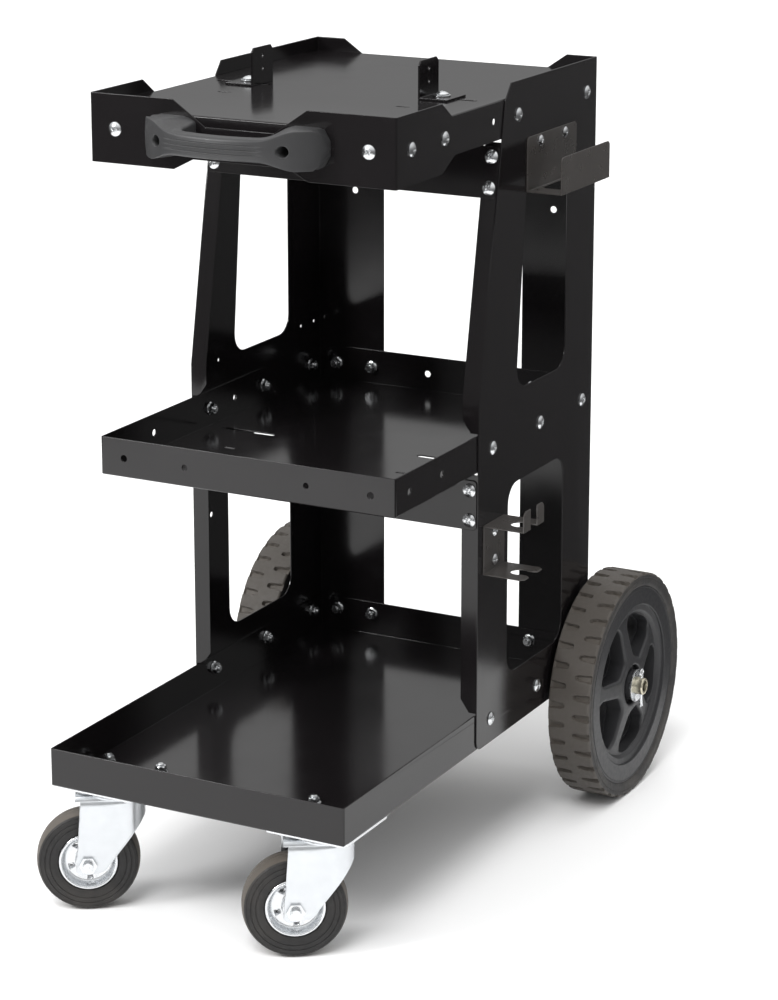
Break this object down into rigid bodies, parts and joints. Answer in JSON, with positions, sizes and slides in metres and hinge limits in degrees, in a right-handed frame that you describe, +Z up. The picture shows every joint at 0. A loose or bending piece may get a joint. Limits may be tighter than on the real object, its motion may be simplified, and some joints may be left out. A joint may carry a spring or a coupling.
{
  "type": "welding cart",
  "caption": "Upright welding cart of folded black sheet with stacked trays between side panels, spoked rear wheels, swivel casters, a bow handle and bolt-on holders.",
  "frame": {"origin": "centre of the footprint on the floor plane, under the wheels", "axes": "+Z up, the bow handle and the casters face -Y, +X towards the side with the cable hook"},
  "size_m": [0.4464, 0.6718, 0.8101],
  "materials": {
    "black_powder_coat": "gloss",
    "bright_zinc": "bright zinc plating",
    "axle_steel": "yellowish zinc plating",
    "bearing_steel": "polished",
    "handle_plastic": "fine satin",
    "hub_plastic": "satin",
    "tyre_rubber": "matte",
    "caster_rubber": "satin"
  },
  "bodies": {
    "frame": {"bottom_tray": "black_powder_coat", "middle_tray": "black_powder_coat", "top_tray": "black_powder_coat", "left_side_panel": "black_powder_coat", "right_side_panel": "black_powder_coat", "upper_crossbar": "black_powder_coat", "middle_crossbar": "black_powder_coat", "front_guard": "black_powder_coat", "handle": "handle_plastic", "cable_hook": "black_powder_coat", "torch_holder": "black_powder_coat", "tray_bolts": "bright_zinc", "tray_nuts": "bright_zinc", "crossbar_bolts": "bright_zinc", "crossbar_nuts": "bright_zinc", "guard_bolts": "bright_zinc", "guard_nuts": "bright_zinc", "handle_screws": "bright_zinc", "handle_nuts": "bright_zinc", "accessory_screws": "bright_zinc", "accessory_nuts": "bright_zinc", "rear_axle": "axle_steel", "axle_washers": "bright_zinc", "split_pins": "bright_zinc", "caster_bolts": "bright_zinc", "caster_nuts": "bright_zinc", "left_caster_plate": "bright_zinc", "left_caster_kingpin": "bright_zinc", "left_caster_balls": "bearing_steel", "right_caster_plate": "bright_zinc", "right_caster_kingpin": "bright_zinc", "right_caster_balls": "bearing_steel"},
    "left_wheel": {"left_wheel_hub": "hub_plastic", "left_wheel_tyre": "tyre_rubber"},
    "right_wheel": {"right_wheel_hub": "hub_plastic", "right_wheel_tyre": "tyre_rubber"},
    "left_stop": {"left_stop_bracket": "black_powder_coat", "left_stop_screw": "bright_zinc", "left_stop_washer": "bright_zinc", "left_stop_nut": "bright_zinc"},
    "right_stop": {"right_stop_bracket": "black_powder_coat", "right_stop_screw": "bright_zinc", "right_stop_washer": "bright_zinc", "right_stop_nut": "bright_zinc"},
    "left_caster": {"left_caster_cup": "bright_zinc", "left_caster_fork": "bright_zinc", "left_caster_axle": "bright_zinc", "left_caster_axle_nut": "bright_zinc", "left_caster_sleeve": "bright_zinc"},
    "right_caster": {"right_caster_cup": "bright_zinc", "right_caster_fork": "bright_zinc", "right_caster_axle": "bright_zinc", "right_caster_axle_nut": "bright_zinc", "right_caster_sleeve": "bright_zinc"},
    "left_caster_wheel": {"left_caster_rim": "bright_zinc", "left_caster_tyre": "caster_rubber"},
    "right_caster_wheel": {"right_caster_rim": "bright_zinc", "right_caster_tyre": "caster_rubber"}
  },
  "joints": [
    {"name": "left_wheel_spin", "type": "hinge", "parent": "frame", "child": "left_wheel", "pos_m": [-0.1883, 0.21592, 0.12], "axis": [1, 0, 0], "continuous": true},
    {"name": "right_wheel_spin", "type": "hinge", "parent": "frame", "child": "right_wheel", "pos_m": [0.1883, 0.21592, 0.12], "axis": [1, 0, 0], "continuous": true},
    {"name": "left_caster_swivel", "type": "hinge", "parent": "frame", "child": "left_caster", "pos_m": [-0.115, -0.28308, 0.128], "axis": [0, 0, 1], "continuous": true},
    {"name": "left_caster_spin", "type": "hinge", "parent": "left_caster", "child": "left_caster_wheel", "pos_m": [-0.14044, -0.29897, 0.05], "axis": [0.5299, -0.848, 0], "continuous": true},
    {"name": "right_caster_swivel", "type": "hinge", "parent": "frame", "child": "right_caster", "pos_m": [0.115, -0.28308, 0.128], "axis": [0, 0, 1], "continuous": true},
    {"name": "right_caster_spin", "type": "hinge", "parent": "right_caster", "child": "right_caster_wheel", "pos_m": [0.08956, -0.29897, 0.05], "axis": [0.5299, -0.848, 0], "continuous": true},
    {"name": "left_stop_slide", "type": "slide", "parent": "frame", "child": "left_stop", "axis": [1, 0, 0], "range_m": [-0.0337, 0.0217]},
    {"name": "right_stop_slide", "type": "slide", "parent": "frame", "child": "right_stop", "axis": [1, 0, 0], "range_m": [-0.0217, 0.0337]}
  ]
}
